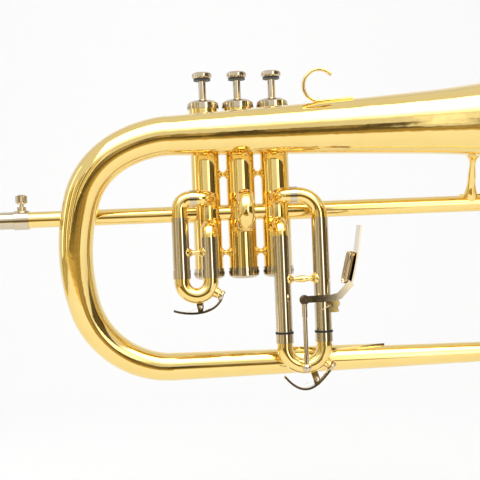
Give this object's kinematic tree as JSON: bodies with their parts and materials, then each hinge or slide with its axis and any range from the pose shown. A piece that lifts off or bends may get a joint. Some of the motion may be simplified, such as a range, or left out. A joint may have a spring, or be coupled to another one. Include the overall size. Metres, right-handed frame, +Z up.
{
  "type": "flugelhorn",
  "caption": "Wide-bore valved brass horn with a flared bell, round bow, hanging valve slides, finger trigger and water keys.",
  "frame": {"origin": "on the middle valve's axis at the height of the leadpipe, where the hand holds the horn", "axes": "+X towards the bell's mouth, +Z up to the valve buttons, -Y to the player's right"},
  "size_m": [0.5108, 0.152, 0.2711],
  "materials": {
    "lacquered_brass": "polished, clear gold lacquer",
    "nickel_silver": "polished nickel silver",
    "silver_plate": "polished silver plate",
    "pearl": "mother-of-pearl inlay",
    "felt": "pressed wool felt",
    "rubber_black": "smooth moulded rubber"
  },
  "bodies": {
    "horn": {"bell": "lacquered_brass", "bell_rim": "lacquered_brass", "main_bow": "lacquered_brass", "bottom_tube": "lacquered_brass", "guard_plate": "lacquered_brass", "front_crook": "lacquered_brass", "exit_tube": "lacquered_brass", "leadpipe": "lacquered_brass", "tube_ferrules": "lacquered_brass", "casing_1": "lacquered_brass", "casing_2": "lacquered_brass", "casing_3": "lacquered_brass", "top_caps": "nickel_silver", "bottom_caps": "nickel_silver", "casing_stays": "lacquered_brass", "port_tubes": "lacquered_brass", "slide_1_crook": "lacquered_brass", "slide_3_crook": "lacquered_brass", "lower_knuckles": "lacquered_brass", "crook_bands": "nickel_silver", "slide_1_sleeves": "nickel_silver", "slide_2_sleeves": "lacquered_brass", "slide_3_sleeves": "nickel_silver", "slide_stays": "lacquered_brass", "trigger_bracket": "lacquered_brass", "bell_brace": "lacquered_brass", "hidden_stays": "lacquered_brass", "finger_hook": "lacquered_brass", "clamp_ring": "nickel_silver"},
    "valve_1": {"piston_1": "nickel_silver", "button_1": "nickel_silver", "pearl_1": "pearl", "felt_1": "felt"},
    "valve_2": {"piston_2": "nickel_silver", "button_2": "nickel_silver", "pearl_2": "pearl", "felt_2": "felt"},
    "valve_3": {"piston_3": "nickel_silver", "button_3": "nickel_silver", "pearl_3": "pearl", "felt_3": "felt"},
    "slide_1": {"slide_1_legs": "nickel_silver", "slide_1_bow": "lacquered_brass", "slide_1_ferrules": "nickel_silver", "key_1_mount": "lacquered_brass"},
    "key_1": {"water_key_1": "nickel_silver"},
    "slide_2": {"slide_2_legs": "nickel_silver", "slide_2_bow": "lacquered_brass"},
    "slide_3": {"slide_3_legs": "nickel_silver", "slide_3_bow": "lacquered_brass", "slide_3_ferrules": "nickel_silver", "slide_3_rings": "rubber_black", "key_3_mount": "lacquered_brass", "trigger_rod": "nickel_silver"},
    "key_3": {"water_key_3": "nickel_silver"},
    "trigger": {"trigger_lever": "nickel_silver"},
    "mouthpipe": {"mouthpipe": "nickel_silver"},
    "lock_screw": {"lock_screw": "nickel_silver"},
    "mouthpiece": {"mouthpiece": "silver_plate"}
  },
  "joints": [
    {"name": "valve_1_press", "type": "slide", "parent": "horn", "child": "valve_1", "axis": [0, 0, -1], "range_m": [0, 0.0145], "stiffness_N_per_m": 180, "springref_m": -0.018},
    {"name": "valve_2_press", "type": "slide", "parent": "horn", "child": "valve_2", "axis": [0, 0, -1], "range_m": [0, 0.0145], "stiffness_N_per_m": 180, "springref_m": -0.018},
    {"name": "valve_3_press", "type": "slide", "parent": "horn", "child": "valve_3", "axis": [0, 0, -1], "range_m": [0, 0.0145], "stiffness_N_per_m": 180, "springref_m": -0.018},
    {"name": "slide_1_pull", "type": "slide", "parent": "horn", "child": "slide_1", "axis": [0, 0, -1], "range_m": [0, 0.016]},
    {"name": "slide_2_pull", "type": "slide", "parent": "horn", "child": "slide_2", "axis": [0, -1, 0], "range_m": [0, 0.015]},
    {"name": "trigger_pull", "type": "hinge", "parent": "horn", "child": "trigger", "pos_m": [0.0632, -0.032, -0.0697], "axis": [0, -1, 0], "range_deg": [0, 20.2]},
    {"name": "slide_3_throw", "type": "slide", "parent": "horn", "child": "slide_3", "axis": [0, 0, -1], "range_m": [0, 0.008], "stiffness_N_per_m": 60, "springref_m": -0.02},
    {"name": "key_1_press", "type": "hinge", "parent": "slide_1", "child": "key_1", "pos_m": [-0.03471, -0.024, -0.0689], "axis": [0, 1, 0], "range_deg": [0, 14], "stiffness_Nm_per_rad": 0.03, "springref_deg": -22.92},
    {"name": "key_3_press", "type": "hinge", "parent": "slide_3", "child": "key_3", "pos_m": [0.04839, -0.024, -0.12532], "axis": [0, 1, 0], "range_deg": [0, 14], "stiffness_Nm_per_rad": 0.03, "springref_deg": -22.92},
    {"name": "mouthpipe_pull", "type": "slide", "parent": "horn", "child": "mouthpipe", "axis": [-1, 0, 0], "range_m": [0, 0.03]},
    {"name": "lock_screw_turn", "type": "hinge", "parent": "horn", "child": "lock_screw", "pos_m": [-0.1641, 0, 0.012], "axis": [0, 0, 1], "range_deg": [0, 360]},
    {"name": "mouthpiece_pull", "type": "slide", "parent": "mouthpipe", "child": "mouthpiece", "axis": [-1, 0, 0], "range_m": [0, 0.02]}
  ],
  "couplings": [
    {"joint": "trigger_pull", "follows": "slide_3_throw", "rad_per_m": 43.214}
  ]
}
